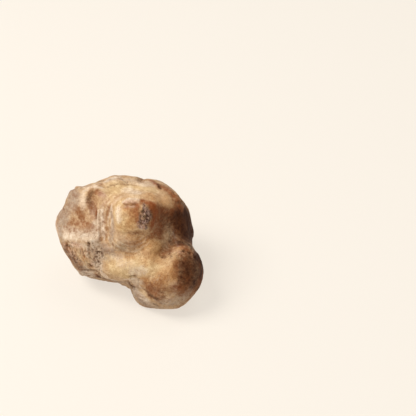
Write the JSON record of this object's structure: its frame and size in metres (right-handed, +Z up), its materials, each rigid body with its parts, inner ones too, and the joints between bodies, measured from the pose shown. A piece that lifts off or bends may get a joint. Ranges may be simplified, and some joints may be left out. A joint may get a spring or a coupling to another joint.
{
  "type": "white truffle",
  "caption": "Whole white truffle: a knobbly ochre-skinned wild fungus of rounded lobes, lying on a small flat spot.",
  "frame": {"origin": "middle of the truffle's box, on the surface that it rests on", "axes": "+Z up; -Y is the front, where the knob and the round heel lobe are; +X to the right, along its longest side"},
  "size_m": [0.0578, 0.0498, 0.0447],
  "materials": {
    "skin": "dry matte ochre skin, tan to dark brown in patches, with pale scars, fine wrinkles and pits"
  },
  "bodies": {
    "root": {"truffle": "skin"}
  },
  "joints": []
}
